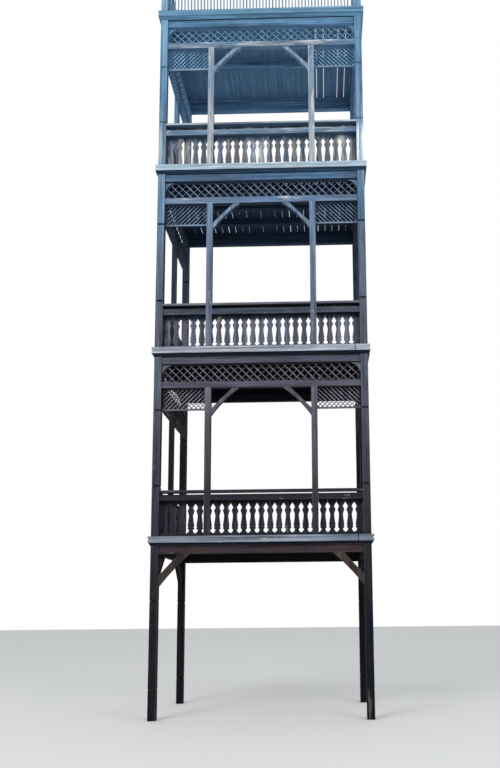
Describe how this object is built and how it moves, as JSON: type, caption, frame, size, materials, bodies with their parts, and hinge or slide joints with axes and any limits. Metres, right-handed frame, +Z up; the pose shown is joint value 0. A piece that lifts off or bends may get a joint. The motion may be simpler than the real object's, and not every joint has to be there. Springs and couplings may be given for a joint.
{
  "type": "timber balcony tower",
  "caption": "Free-standing timber balcony tower with corner posts, stacked decks, sawn balustrade boards, lattice friezes, arched braces and a roof terrace railing.",
  "frame": {"origin": "on the ground, in the middle of the plan", "axes": "+Z up, +X to the right seen from the garden, +Y towards the house wall"},
  "size_m": [4.5, 2.6, 16.245],
  "materials": {
    "post_timber": "dark wood stain, worn, with open grain",
    "dark_timber": "dark wood stain, worn, with open grain",
    "grey_timber": "blue-grey weathered wood stain",
    "weathered_timber": "sun-bleached wood stain with bare patches",
    "bleached_timber": "bare sun-bleached timber",
    "brown_timber": "brown wood stain",
    "edge_board": "light grey weathered boards",
    "deck_board": "dark boards and joists seen from below",
    "lattice_slat": "grey weathered slats"
  },
  "bodies": {
    "root": {"arch_braces": "grey_timber", "balustrade_boards_1": "dark_timber", "balustrade_boards_2": "grey_timber", "balustrade_boards_3": "weathered_timber", "balustrade_rails_1": "dark_timber", "balustrade_rails_2": "grey_timber", "balustrade_rails_3": "weathered_timber", "beams_1": "dark_timber", "beams_2": "grey_timber", "beams_3": "weathered_timber", "beams_4": "weathered_timber", "corner_brackets": "grey_timber", "deck_boards_1": "deck_board", "deck_boards_2": "deck_board", "deck_boards_3": "deck_board", "deck_boards_4": "deck_board", "edge_boards_1": "edge_board", "edge_boards_2": "edge_board", "edge_boards_3": "edge_board", "edge_boards_4": "edge_board", "frieze_rails_1": "dark_timber", "frieze_rails_2": "grey_timber", "frieze_rails_3": "weathered_timber", "joists": "deck_board", "knee_braces": "brown_timber", "lattice_back_slats_1": "lattice_slat", "lattice_back_slats_2": "lattice_slat", "lattice_back_slats_3": "lattice_slat", "lattice_frames_1": "lattice_slat", "lattice_frames_2": "lattice_slat", "lattice_frames_3": "lattice_slat", "lattice_front_slats_1": "lattice_slat", "lattice_front_slats_2": "lattice_slat", "lattice_front_slats_3": "lattice_slat", "mid_posts_1": "dark_timber", "mid_posts_2": "grey_timber", "mid_posts_3": "weathered_timber", "post_front_left": "post_timber", "post_front_right": "post_timber", "post_rear_left": "post_timber", "post_rear_right": "post_timber", "terrace_frames": "bleached_timber", "terrace_pickets": "bleached_timber", "under_mouldings": "grey_timber"}
  },
  "joints": []
}
